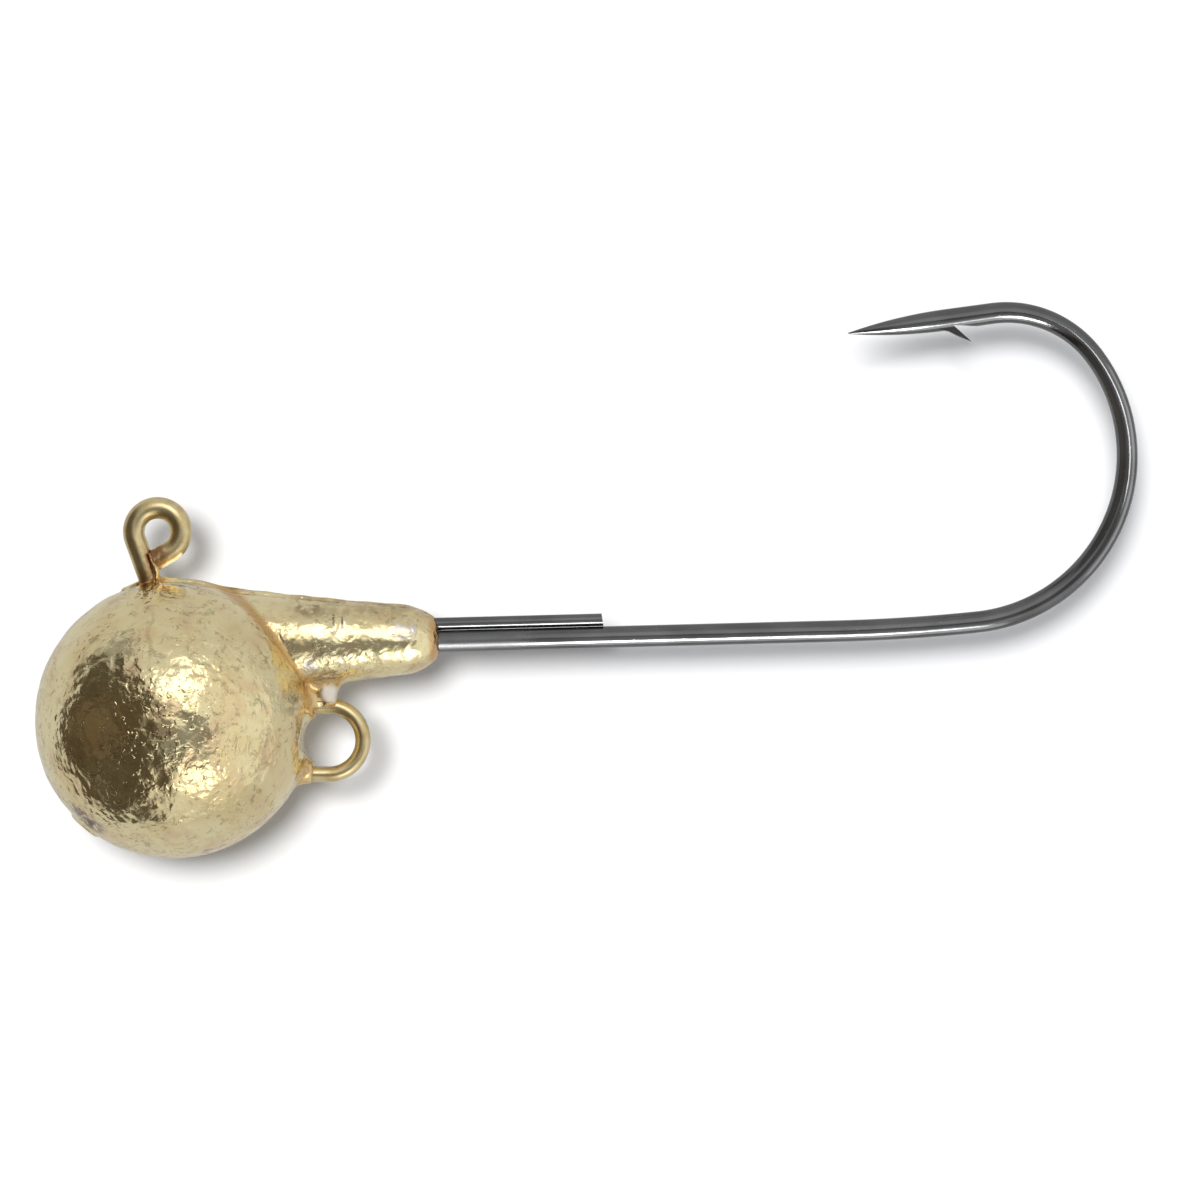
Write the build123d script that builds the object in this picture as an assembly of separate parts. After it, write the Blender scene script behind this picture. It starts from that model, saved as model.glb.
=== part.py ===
from build123d import *
from math import cos, hypot, radians, sin, sqrt, tan
import os

# A round jig head: a cast lead ball with a collar, poured round a hook that ends in a line-tie eye,
# a stinger ring and a bait-keeper pin.
# Lengths are millimetres and angles are degrees. The origin is the centre of the line-tie eye,
# +X runs along the shank to the bend, +Z points up out of the eye, and the hook lies in the XZ plane.

# Hook wire: one wire from the eye's free end down through the ball, along the shank and round to the point.
hook_wire = 1.30            # diameter
eye_hole = 1.55             # across the eye's loop, inside
eye_wrap = 260.0            # turn of the loop
tail_gap = 0.02             # between the wire's free end and the leg
tail_shear = 10.0           # slant of the cut on the free end
leg_lean = 20.0             # lean of the leg that goes down into the ball
inner_bend = 1.50           # centreline radius of the bend inside the ball
shank_rise = 1.46           # rise of the shank towards the bend
shank_free = 23.80          # straight shank from the collar's nose to the bend
heel_radius = 108.7         # slow curve where the shank runs out
heel_turn = 4.46
belly_radius = 10.03        # the hook's main bend
belly_turn = 120.36
crown_radius = 6.53         # tighter bend at the top
crown_turn = 61.63
point_limb = 8.74           # from the crown to the tip
point_taper = 5.90          # tapered length of the point
point_tip = 0.06            # diameter of the very tip

# Barb, measured back from the tip along the point limb.
barb_start = 5.72           # where the cut leaves the limb's surface
barb_length = 1.58          # from there to the barb's tip
barb_lift = 0.87            # the barb's tip above the limb's surface
barb_undercut = 0.56        # how much further back the cut's root lies
barb_depth = 0.32           # depth of the cut's root below the limb's surface
barb_width = 0.84           # across the barb's base
barb_edge = 0.14            # across the barb's tip

# Lead casting.
ball_diameter = 16.62
ball_below_eye = 2.98       # eye's centre down to the ball's top
ball_ahead = 0.98           # ball's centre ahead of the eye's centre
shank_depth = 4.01          # ball's top down to the corner of the wire's inner bend
collar_reach = 7.66         # collar's nose beyond the ball's side
collar_waist = 4.08         # diameter where the nose starts to round
collar_taper = 6.2          # half-angle
collar_lift = 0.10          # collar's axis above the shank's axis
collar_fillet = 0.60        # between ball and collar
nose_length = 2.10
nose_face = 1.75            # diameter of the collar's end face
fin_height = 0.06           # mould-parting fin over the top of the ball
fin_thickness = 0.36
fin_start = 1.60            # ahead of the eye's centre
leg_boss_height = 0.50      # little cone of lead round the leg, standing off the ball
leg_boss_wall = 0.08        # at its thin end
leg_boss_flare = 18.0       # half-angle
leg_boss_length = 2.00      # of the whole cone, most of it inside the ball
drip_wire = 0.42            # strand of lead from the ball to the underside of the eye's free end
drip_root = 2.00            # inside the ball
drip_ahead = 0.31           # strand's axis ahead of the middle of the free end
drip_aside = 0.40           # and beside it, clear of the leg
drip_sink = 0.30            # strand's top below the middle of the free end
sprue_diameter = 2.00       # trimmed pour gate
sprue_height = 0.22
sprue_angle = 230.0         # direction of the gate seen from the ball's centre

# Stinger ring: a wire staple whose legs are cast into the ball.
ring_wire = 0.92            # diameter
ring_hole = 3.16            # across the loop, inside
ring_beyond = 1.01          # ring's centre beyond the ball's side
ring_drop = 1.23            # ring's centre below the ball's centre
ring_anchor = 5.30          # length of each leg
web_thickness = 1.50        # lead web between ball, collar and ring
web_edge = 0.55             # web's edge ahead of the ring's centre
web_root = 4.15             # inside the ball's side
ring_boss_wall = 0.08       # lead round the lower leg, at its thin end
ring_boss_flare = 8.0       # half-angle
ring_boss_reach = 0.85      # end of that lead, short of the ring's centre
ring_boss_length = 2.80     # of the whole cone, most of it inside the ball

# Bait-keeper pin: a straight wire cast into the collar, lying along the top of the shank.
pin_wire = 0.75             # diameter
pin_reach = 9.78            # beyond the collar's nose
pin_anchor = 6.00           # inside the collar
pin_cut = 7.0               # slant of the cut on its end, longest beside the shank
wire_gap = 0.02             # between the pin and the shank

# Where the eye's node ends and the hook's node begins, on the same wire inside the ball.
eye_split_depth = 2.00      # below the ball's top

# The ball's surface has its seam here, seen from the ball's centre, clear of everything that meets it.
seam_heading = 150.0

hook_radius = hook_wire / 2
eye_radius = (eye_hole + hook_wire) / 2
ball_radius = ball_diameter / 2
ring_radius = (ring_hole + ring_wire) / 2
ball_top = -ball_below_eye
ball_centre = Vector(ball_ahead, 0, ball_top - ball_radius)
ball_side = ball_ahead + ball_radius
ring_centre = Vector(ball_side + ring_beyond, 0, ball_centre.Z - ring_drop)
nose_x = ball_side + collar_reach


def heading_vector(heading):
    """Unit vector in the XZ plane, turned by heading from +X towards +Z."""
    return Vector(cos(radians(heading)), 0, sin(radians(heading)))


class WirePath:
    """Centreline of a bent wire in the XZ plane, laid end to end from a start and a heading."""

    def __init__(self, start, heading):
        self.start = self.end = start
        self.start_heading = self.heading = heading
        self.edges = []

    def straight(self, length):
        start = self.end
        self.end = start + heading_vector(self.heading) * length
        self.edges.append(Line(start, self.end))

    def bend(self, radius, turn):
        """A positive turn is from +X towards +Z."""
        start = self.end
        side = 90 if turn > 0 else -90
        centre = start + heading_vector(self.heading + side) * radius
        middle = centre + heading_vector(self.heading - side + turn / 2) * radius
        self.heading += turn
        self.end = centre + heading_vector(self.heading - side) * radius
        self.edges.append(ThreePointArc(start, middle, self.end))

    def tube(self, diameter):
        section = Plane(origin=self.start, z_dir=heading_vector(self.start_heading)) * Circle(diameter / 2)
        return sweep(section, path=Wire(self.edges))


# The leg runs straight from the loop's left side to the corner where its line meets the shank's.
leg_heading = leg_lean - 90
leg_top = heading_vector(180 + leg_lean) * eye_radius
corner_depth = ball_below_eye + shank_depth
leg_to_corner = (corner_depth + leg_top.Z) / cos(radians(leg_lean))
leg_to_split = (ball_below_eye + eye_split_depth + leg_top.Z) / cos(radians(leg_lean))
corner = leg_top + heading_vector(leg_heading) * leg_to_corner
inner_turn = shank_rise - leg_heading
inner_tangent = inner_bend * tan(radians(inner_turn / 2))
nose_from_corner = (nose_x - corner.X) / cos(radians(shank_rise))
nose_on_shank = corner + heading_vector(shank_rise) * nose_from_corner
shank_up = heading_vector(shank_rise + 90)


# The free end runs straight from the loop until its cut edge all but meets the leg.
loop_start = 180 + leg_lean - eye_wrap
tail_heading = loop_start + 90
cut_edge = hook_radius / cos(radians(tail_shear)) * cos(radians(eye_wrap - 180 + tail_shear))
tail_room = eye_radius * (1 - cos(radians(eye_wrap))) - hook_radius - tail_gap - cut_edge
eye_tail = tail_room / sin(radians(eye_wrap - 180))
tail_end = heading_vector(loop_start) * eye_radius - heading_vector(tail_heading) * eye_tail


def sheared_length(path, length, diameter, slant):
    """A straight length of wire on from path's end, cut off on a slant."""
    room = diameter * tan(radians(abs(slant)))
    along = heading_vector(path.heading)
    cut = path.end + along * length
    wire = Plane(origin=path.end, z_dir=along) * Cylinder(
        diameter / 2, length + room, align=(Align.CENTER, Align.CENTER, Align.MIN)
    )
    waste = Plane(origin=cut, z_dir=heading_vector(path.heading + slant)) * Cylinder(
        diameter, diameter + room, align=(Align.CENTER, Align.CENTER, Align.MIN)
    )
    return wire - waste


def line_tie_eye():
    """From the split inside the ball up the leg, round the loop and to the free end."""
    path = WirePath(leg_top + heading_vector(leg_heading) * leg_to_split, leg_heading + 180)
    path.straight(leg_to_split)
    path.bend(eye_radius, -eye_wrap)
    return path.tube(hook_wire) + sheared_length(path, eye_tail, hook_wire, -tail_shear)


def hook_path():
    """From the split inside the ball to the start of the point's taper."""
    path = WirePath(leg_top + heading_vector(leg_heading) * leg_to_split, leg_heading)
    path.straight(leg_to_corner - leg_to_split - inner_tangent)
    path.bend(inner_bend, inner_turn)
    path.straight(nose_from_corner - inner_tangent + shank_free)
    path.bend(heel_radius, heel_turn)
    path.bend(belly_radius, belly_turn)
    path.bend(crown_radius, crown_turn)
    path.straight(point_limb - point_taper)
    return path


def point_plane(path):
    """Origin at the tip, X back along the limb, Y out of the limb's underside, towards the shank."""
    tip = path.end + heading_vector(path.heading) * point_taper
    return Plane(origin=tip, x_dir=-heading_vector(path.heading), z_dir=(0, 1, 0))


def needle(plane):
    """The point: an ogive turned about the limb's axis, tangent to the round wire."""
    full, tip = (point_taper, hook_radius), (0, point_tip / 2)
    flank = TangentArc(full, tip, tangent=(-1, 0))
    outline = [flank, Line(tip, (0, 0)), Line((0, 0), (point_taper, 0)), Line((point_taper, 0), full)]
    return revolve(plane * make_face(outline), axis=Axis(plane.origin, plane.x_dir))


def wedge(plane, outline, width):
    return extrude(plane * make_face(Polyline(*outline, close=True)), width / 2, both=True)


def barb_root():
    return (barb_start + barb_undercut, hook_radius - barb_depth)


def barb_tip():
    return (barb_start + barb_length, hook_radius + barb_lift)


def barb(plane):
    """A sliver raised from the limb, narrowing from its base to its tip."""
    inside = (barb_start, hook_radius - barb_depth)
    blade = wedge(plane, [inside, (barb_start, hook_radius - point_tip), barb_tip(), barb_root()], barb_width)
    run = hypot(barb_length, barb_lift + barb_depth)
    base, edge = barb_width / 2, barb_edge / 2
    lean = Vector(barb_length, barb_lift + barb_depth)
    along = plane.x_dir * (lean.X / run) + plane.y_dir * (lean.Y / run)
    root = plane.from_local_coords(Vector(*inside))
    side_plane = Plane(origin=root, x_dir=along, z_dir=along.cross(Vector(0, 1, 0)))
    sides = [(-barb_depth, base), (0, base), (run, edge), (run, -edge), (0, -base), (-barb_depth, -base)]
    taper = extrude(side_plane * make_face(Polyline(*sides, close=True)), barb_length, both=True)
    return blade & taper


def barb_cut(plane):
    """The nick that the raised sliver leaves behind it."""
    root = barb_root()
    exit_point = (barb_tip()[0] + barb_undercut, hook_radius)
    above = (barb_tip()[0] + barb_undercut, hook_wire)
    return wedge(plane, [root, exit_point, above, barb_tip()], hook_wire)


def hook():
    path = hook_path()
    plane = point_plane(path)
    wire = path.tube(hook_wire) + needle(plane)
    return wire - barb_cut(plane) + barb(plane)


def stinger_ring():
    start = ring_centre + Vector(-ring_anchor, 0, -ring_radius)
    path = WirePath(start, 0)
    path.straight(ring_anchor)
    path.bend(ring_radius, 180)
    path.straight(ring_anchor)
    return path.tube(ring_wire)


def keeper_pin():
    lift = hook_radius + wire_gap + pin_wire / 2
    start = nose_on_shank + shank_up * lift - heading_vector(shank_rise) * pin_anchor
    return sheared_length(WirePath(start, shank_rise), pin_anchor + pin_reach, pin_wire, pin_cut)


def collar_plane():
    """Origin on the collar's axis at its nose, X back into the ball, Y up."""
    nose = nose_on_shank + shank_up * collar_lift
    return Plane(origin=nose, x_dir=-heading_vector(shank_rise), z_dir=(0, 1, 0))


def collar_root():
    """Distance from the nose to the collar's root, abreast of the ball's centre, and the radius there."""
    length = collar_reach + ball_radius
    return length, collar_waist / 2 + (length - nose_length) * tan(radians(collar_taper))


def collar():
    plane = collar_plane()
    length, root_radius = collar_root()
    root, waist, face = (length, root_radius), (nose_length, collar_waist / 2), (0, nose_face / 2)
    nose = TangentArc(waist, face, tangent=(-cos(radians(collar_taper)), -sin(radians(collar_taper))))
    side = [Line((0, 0), (length, 0)), Line((length, 0), root), Line(root, waist)]
    outline = make_face([*side, nose, Line(face, (0, 0))])
    return revolve(plane * outline, axis=Axis(plane.origin, plane.x_dir))


def ball_and_collar():
    seam = heading_vector(seam_heading)
    ball = Plane(origin=ball_centre, x_dir=seam, z_dir=(0, 1, 0)) * Sphere(ball_radius)
    cone = collar()
    body = ball + cone
    return fillet(new_edges(ball, cone, combined=body), collar_fillet)


def plate(outline, thickness):
    """A plate of the casting that straddles the mould's parting plane."""
    points = [(x, 0, z) for x, z in outline]
    return extrude(make_face(Polyline(*points, close=True)), thickness / 2, dir=(0, 1, 0), both=True)


def parting_fin():
    """Flash over the top of the ball, where the mould's halves meet."""
    disc = Pos(ball_centre) * Rot(90, 0, 0) * Cylinder(ball_radius + fin_height, fin_thickness)
    back, front = fin_start, ball_side
    top, bottom = 0, nose_on_shank.Z
    window = plate([(back, bottom), (front, bottom), (front, top), (back, top)], ball_radius)
    return disc & window


def flared(place, length, start_diameter, half_angle):
    """A cone of lead round a wire, from its thin end at the place's origin, along the place's Z."""
    start = start_diameter / 2
    end = start + length * tan(radians(half_angle))
    return place * Cone(start, end, length, align=(Align.CENTER, Align.CENTER, Align.MIN))


def leg_boss():
    """Lead that crept up the leg."""
    along = heading_vector(leg_heading)
    depth = (ball_below_eye + leg_top.Z) / cos(radians(leg_lean))
    top = leg_top + along * (depth - leg_boss_height)
    place = Plane(origin=top, z_dir=along)
    return flared(place, leg_boss_length, hook_wire + 2 * leg_boss_wall, leg_boss_flare)


def drip():
    """A strand from inside the ball, up past the side of the leg, to the underside of the eye's free end."""
    top = tail_end + Vector(drip_ahead, -drip_aside, -drip_sink)
    height = top.Z - ball_top + drip_root
    return Pos(top) * Cylinder(drip_wire / 2, height, align=(Align.CENTER, Align.CENTER, Align.MAX))


def ring_web():
    """Lead from the ball and the collar's underside to the ring's upper leg, and down past its hole."""
    upper = ring_centre.Z + ring_radius
    lower = ring_centre.Z - ring_radius
    edge = ring_centre.X + web_edge
    mouth = ring_centre.X - ring_boss_reach
    deep = ball_side - web_root
    inside_collar = nose_on_shank.Z
    ahead = [(edge, inside_collar), (edge, upper), (mouth, ring_centre.Z), (mouth, lower)]
    return plate([(deep, inside_collar), *ahead, (deep, lower)], web_thickness)


def ring_boss():
    """Lead round the ring's lower leg, thickening into the ball."""
    start = ring_centre - Vector(ring_boss_reach, 0, ring_radius)
    place = Plane(origin=start, z_dir=(-1, 0, 0))
    return flared(place, ring_boss_length, ring_wire + 2 * ring_boss_wall, ring_boss_flare)


def sprue_stub():
    out = heading_vector(sprue_angle)
    return Plane(origin=ball_centre, z_dir=out) * Cylinder(
        sprue_diameter / 2, sprue_reach(), align=(Align.CENTER, Align.CENTER, Align.MIN)
    )


def sprue_reach():
    """Height of the gate's face from the ball's centre: its rim stands sprue_height off the ball."""
    return sqrt(ball_radius**2 - (sprue_diameter / 2) ** 2) + sprue_height


def head_casting(wires):
    body = ball_and_collar() + parting_fin() + leg_boss() + drip() + ring_web() + ring_boss() + sprue_stub()
    core_pin = Pos(ring_centre) * Rot(90, 0, 0) * Cylinder(ring_hole / 2, ball_diameter)
    body -= core_pin
    for wire in wires:
        body -= wire
    return body


wires = {
    "hook": hook(),
    "line_tie_eye": line_tie_eye(),
    "stinger_ring": stinger_ring(),
    "keeper_pin": keeper_pin(),
}
parts = {"head_casting": head_casting(wires.values()), **wires}

os.makedirs("parts", exist_ok=True)
for name, shape in parts.items():
    export_step(shape, f"parts/{name}.step")
    box = shape.bounding_box()
    print(f"{name}: {shape.volume:.3f} mm3, {len(shape.solids())} solid(s), {box.min} to {box.max}")
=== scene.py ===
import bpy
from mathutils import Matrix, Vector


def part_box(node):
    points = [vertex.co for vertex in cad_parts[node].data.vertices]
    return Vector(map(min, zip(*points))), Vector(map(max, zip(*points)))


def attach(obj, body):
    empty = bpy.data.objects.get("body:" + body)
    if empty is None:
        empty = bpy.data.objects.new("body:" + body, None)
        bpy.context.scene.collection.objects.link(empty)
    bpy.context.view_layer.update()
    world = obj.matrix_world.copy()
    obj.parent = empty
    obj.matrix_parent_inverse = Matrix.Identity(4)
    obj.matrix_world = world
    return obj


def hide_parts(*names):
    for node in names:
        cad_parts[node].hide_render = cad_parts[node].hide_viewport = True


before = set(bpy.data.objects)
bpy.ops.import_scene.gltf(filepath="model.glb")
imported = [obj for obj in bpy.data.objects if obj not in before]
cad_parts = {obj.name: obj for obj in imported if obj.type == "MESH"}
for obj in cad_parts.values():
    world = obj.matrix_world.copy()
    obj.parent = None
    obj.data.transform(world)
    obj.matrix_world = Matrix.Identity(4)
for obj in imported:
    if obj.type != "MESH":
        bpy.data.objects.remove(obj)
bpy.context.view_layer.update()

from math import cos, pi, radians, sin, sqrt, tan

import bmesh
import bpy
import numpy as np
from mathutils import Vector, noise

# A gilt cast jig head. Lengths here are millimetres, which MM turns to metres, and angles are degrees.
# The origin is the centre of the line-tie eye. X runs along the shank, Z is up, and the hook lies in XZ.
MM = 0.001


def node_box(name):
    """Lowest and highest corner of a CAD node, in millimetres."""
    low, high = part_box(name)
    return np.array(low) / MM, np.array(high) / MM


casting_low, casting_high = node_box("head_casting")
hook_low, hook_high = node_box("hook")
_, eye_high = node_box("line_tie_eye")
ring_low, ring_high = node_box("stinger_ring")
pin_low, pin_high = node_box("keeper_pin")

# Sizes of the frame.
hook_wire = hook_high[1] - hook_low[1]
hook_radius = hook_wire / 2
eye_radius = eye_high[2] - hook_radius
ball_radius = (casting_high[1] - casting_low[1]) / 2
ball_centre = np.array([casting_low[0] + ball_radius, 0, casting_low[2] + ball_radius])
ball_top = ball_centre[2] + ball_radius
ball_side = ball_centre[0] + ball_radius
ring_wire = ring_high[1] - ring_low[1]
ring_radius = (ring_high[2] - ring_low[2] - ring_wire) / 2
ring_centre = np.array([ring_high[0] - ring_radius - ring_wire / 2, 0, (ring_low[2] + ring_high[2]) / 2])
ring_hole = 2 * ring_radius - ring_wire
ring_anchor = ring_centre[0] - ring_low[0]
pin_wire = pin_high[1] - pin_low[1]

# The line-tie eye, and its leg down into the ball.
leg_lean = 20.0
eye_wrap = 260.0
tail_gap = 0.0
tail_shear = 10.0
leg_in_ball = 2.0

# The hook: its bends, its needle point and its barb.
shank_depth = 4.01
inner_bend = 1.50
shank_rise = 1.46
shank_free = 23.80
heel_radius, heel_turn = 108.7, 4.46
belly_radius, belly_turn = 10.03, 120.36
crown_radius, crown_turn = 6.53, 61.63
point_limb = 8.74
point_taper = 5.90
point_tip = 0.06
crown_thinning = 0.05
crown_thinning_reach = 6.0
barb_start = 5.72
barb_length = 1.58
barb_lift = 0.87
barb_undercut = 0.56
barb_depth = 0.32
barb_width = 0.84
barb_edge = 0.14

# The keeper pin, which lies over the shank.
pin_reach = 9.78
pin_anchor = 6.00
pin_cut = 7.0
wire_gap = 0.02

# The casting's collar and nose.
collar_reach = 7.66
collar_waist = 4.08
collar_taper = 6.2
collar_lift = 0.10
nose_length = 2.10
nose_face = 1.75
nose_ease = 0.35
collar_fillet = 0.35

# The web, and the cones of lead round the eye's leg and the ring's lower leg: length, radius, half angle.
web_thickness = 1.50
web_edge = 0.50
web_cheek = 0.90
web_overlap = 0.40
web_throat_foot = 0.10
web_ease = 0.42
web_joint = 0.30
web_fillet = 0.80
leg_boss = (1.3, hook_radius + 0.02, 12)
leg_boss_lift = 0.08
ring_boss = (2.8, ring_wire / 2 + 0.05, 9)
ring_boss_start = 1.03
boss_fillet = 0.30
small_ease = 0.12

# Flash along the top, the sprue, and what ran down from the eye's free end.
bead_radius = 0.28
bead_sink = 0.06
bead_ripple = 0.035
bead_start = -2.2
bead_drop = 0.12
bead_drop_start = ball_side - 3
bead_drop_run = 4.5
bead_bed = 0.06
bead_bed_end = ball_side + 2
bead_bed_side, bead_bed_width = 0.42, 0.34
bead_ease = 0.20
bead_fillet = 0.07
sprue_angle = 230.0
sprue_radius = 1.0
sprue_height = 0.12
sprue_ease = 0.15
sprue_fillet = 0.20
film_radius, film_fillet = 0.23, 0.10
drip_radius, drip_fillet = 0.24, 0.12

# Mesh fineness.
wire_step = 0.16
wire_sides = 40
weld_gap = 0.0005
skin_voxel = 0.138


def heading_vector(heading):
    """Unit vector in the XZ plane, turned by heading from +X towards +Z."""
    return np.array([cos(radians(heading)), 0.0, sin(radians(heading))])


# The leg goes down into the ball, turns there, and leaves the nose as the shank.
leg_heading = leg_lean - 90
leg_top = heading_vector(180 + leg_lean) * eye_radius
leg_to_corner = (shank_depth - ball_top + leg_top[2]) / cos(radians(leg_lean))
leg_to_split = (leg_in_ball - ball_top + leg_top[2]) / cos(radians(leg_lean))
leg_to_skin = (leg_top[2] - ball_top) / cos(radians(leg_lean))
leg_foot = leg_top + heading_vector(leg_heading) * leg_to_skin
corner = leg_top + heading_vector(leg_heading) * leg_to_corner
inner_turn = shank_rise - leg_heading
inner_tangent = inner_bend * tan(radians(inner_turn / 2))
nose_x = ball_side + collar_reach
nose_from_corner = (nose_x - corner[0]) / cos(radians(shank_rise))
nose_on_shank = corner + heading_vector(shank_rise) * nose_from_corner
corner_on_wire = leg_to_corner - leg_to_split + radians(inner_turn) * inner_bend - 2 * inner_tangent
nose_on_wire = corner_on_wire + nose_from_corner
shank_along = heading_vector(shank_rise)
shank_up = heading_vector(shank_rise + 90)

# The eye's free end runs straight on from the loop until its cut edge meets the leg.
tail_heading = 270 + leg_lean - eye_wrap
cut_edge = hook_radius / cos(radians(tail_shear)) * cos(radians(eye_wrap - 180 + tail_shear))
tail_room = eye_radius * (1 - cos(radians(eye_wrap))) - hook_radius - tail_gap - cut_edge
eye_tail = tail_room / sin(radians(eye_wrap - 180))
tail_end = heading_vector(tail_heading - 90) * eye_radius - heading_vector(tail_heading) * eye_tail


# ---- Wires -------------------------------------------------------------------------------------


class WirePath:
    """Centreline of a bent wire in the XZ plane, laid end to end as stations a small step apart."""

    def __init__(self, start, heading):
        self.points = [np.array(start, float)]
        self.headings = [heading]
        self.distances = [0.0]

    def lay(self, length, turn):
        count = max(2, round(length / wire_step))
        step, twist = length / count, turn / count
        chord = step if turn == 0 else 2 * (length / radians(abs(turn))) * sin(radians(abs(twist)) / 2)
        for _ in range(count):
            middle = self.headings[-1] + twist / 2
            self.points.append(self.points[-1] + heading_vector(middle) * chord)
            self.headings.append(self.headings[-1] + twist)
            self.distances.append(self.distances[-1] + step)

    def straight(self, length):
        self.lay(length, 0)

    def bend(self, radius, turn):
        """A positive turn is from +X towards +Z."""
        self.lay(radius * radians(abs(turn)), turn)


def link(name, mesh):
    made = bpy.data.objects.new(name, mesh)
    bpy.context.scene.collection.objects.link(made)
    return made


def swept_wire(name, path, in_plane, across, end_slant=0.0):
    """A closed tube along the path. The radii are one number, or one for each station."""
    count = len(path.points)
    points = np.array(path.points)
    headings = np.radians(path.headings)
    along = np.stack([np.cos(headings), 0 * headings, np.sin(headings)], 1)
    outward = np.stack([-np.sin(headings), 0 * headings, np.cos(headings)], 1)
    turn = np.linspace(0, 2 * pi, wire_sides, endpoint=False)
    rise = np.broadcast_to(in_plane, count)[:, None] * np.cos(turn)
    side = np.broadcast_to(across, count)[:, None] * np.sin(turn)
    rings = points[:, None] + outward[:, None] * rise[..., None]
    rings[..., 1] += side
    rings[-1] += along[-1] * (rise[-1] * tan(radians(end_slant)))[:, None]
    corner_of = np.arange(count * wire_sides).reshape(count, wire_sides)
    beside = np.roll(corner_of, -1, 1)
    sides = np.stack([corner_of[:-1], corner_of[1:], beside[1:], beside[:-1]], -1).reshape(-1, 4)
    ends = [corner_of[0].tolist(), corner_of[-1][::-1].tolist()]
    mesh = bpy.data.meshes.new(name)
    mesh.from_pydata((rings.reshape(-1, 3) * MM).tolist(), [], sides.tolist() + ends)
    mesh.update()
    return link(name, mesh)


def vertices_of(mesh):
    """The mesh's points in millimetres."""
    flat = np.empty(len(mesh.vertices) * 3)
    mesh.vertices.foreach_get("co", flat)
    return flat.reshape(-1, 3) / MM


def mark_wire(obj, path):
    """Gives each point its distance along the wire and its offset from the centreline, for the grain."""
    place = vertices_of(obj.data)
    points = np.array(path.points)
    batches = np.array_split(place, len(place) // 500 + 1)
    nearest = np.concatenate([((batch[:, None] - points) ** 2).sum(2).argmin(1) for batch in batches])
    headings = np.radians(np.array(path.headings))[nearest]
    offset = place - points[nearest]
    across = -np.sin(headings) * offset[:, 0] + np.cos(headings) * offset[:, 2]
    grain = np.stack([np.array(path.distances)[nearest], across, offset[:, 1]], 1)
    attribute = obj.data.attributes.new("grain", "FLOAT_VECTOR", "POINT")
    attribute.data.foreach_set("vector", grain.astype(np.float32).ravel())


def rounded(obj, sharp_angle=35):
    """Smooth shading, with edges sharper than the angle kept crisp."""
    obj.data.shade_smooth()
    obj.data.set_sharp_from_angle(angle=radians(sharp_angle))
    return obj


def settle(obj):
    """Applies the piece's modifiers."""
    shape = obj.evaluated_get(bpy.context.evaluated_depsgraph_get())
    mesh = bpy.data.meshes.new_from_object(shape)
    obj.modifiers.clear()
    obj.data = mesh
    return obj


def weld(obj):
    """Joins the points that a cut left on top of each other."""
    edit = bmesh.new()
    edit.from_mesh(obj.data)
    bmesh.ops.remove_doubles(edit, verts=edit.verts, dist=weld_gap * MM)
    bmesh.ops.dissolve_degenerate(edit, edges=edit.edges, dist=weld_gap * MM)
    edit.to_mesh(obj.data)
    edit.free()


def combine(obj, other, operation):
    change = obj.modifiers.new(operation, "BOOLEAN")
    change.operation, change.object, change.solver = operation, other, "EXACT"
    settle(obj)
    bpy.data.objects.remove(other)
    weld(obj)


def hook_path():
    path = WirePath(leg_top + heading_vector(leg_heading) * leg_to_split, leg_heading)
    path.straight(leg_to_corner - leg_to_split - inner_tangent)
    path.bend(inner_bend, inner_turn)
    path.straight(nose_from_corner - inner_tangent + shank_free)
    path.bend(heel_radius, heel_turn)
    path.bend(belly_radius, belly_turn)
    path.crown_at = path.distances[-1]
    path.bend(crown_radius, crown_turn)
    path.straight(point_limb)
    return path


def tapered_point(from_tip):
    """Radius of the needle point: an arc tangent to the round wire, at a distance from the tip."""
    rise = hook_radius - point_tip / 2
    arc = (point_taper**2 + rise**2) / (2 * rise)
    run = np.clip(point_taper - from_tip, 0, None)
    return hook_radius - (arc - np.sqrt(arc**2 - run**2))


def limb_place(path, back, down, side=0.0):
    """A point given by its distance back from the tip, and out of the underside from the limb's axis."""
    along, out = heading_vector(path.headings[-1]), heading_vector(path.headings[-1] + 90)
    return path.points[-1] - along * back + out * down + np.array([0, side, 0])


def prism(name, near, far):
    """A closed solid between two outlines with as many points."""
    count = len(near)
    sides = [(i, (i + 1) % count, (i + 1) % count + count, i + count) for i in range(count)]
    mesh = bpy.data.meshes.new(name)
    faces = [tuple(range(count))[::-1], tuple(range(count, 2 * count))] + sides
    mesh.from_pydata([tuple(p * MM) for p in [*near, *far]], [], faces)
    edit = bmesh.new()
    edit.from_mesh(mesh)
    bmesh.ops.recalc_face_normals(edit, faces=edit.faces)
    edit.to_mesh(mesh)
    edit.free()
    return link(name, mesh)


def barb_blade(path):
    """The sliver raised from the limb: wide at its root and drawn out to a narrow tip."""
    root_back = barb_start + barb_undercut
    tip_back, tip_down = barb_start + barb_length, hook_radius + barb_lift
    outline = [
        (barb_start, hook_radius - barb_depth, barb_width),
        (barb_start - 0.25, hook_radius - 0.12, barb_width),
        (barb_start + 0.30, hook_radius + 0.06, barb_width),
        ((barb_start + tip_back) / 2, (hook_radius + tip_down) / 2 - 0.02, (barb_width + barb_edge) / 2),
        (tip_back, tip_down, barb_edge),
        (root_back, hook_radius - barb_depth, barb_width),
    ]
    near = [limb_place(path, back, down, -width / 2) for back, down, width in outline]
    far = [limb_place(path, back, down, width / 2) for back, down, width in outline]
    return prism("barb_blade", near, far)


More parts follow.
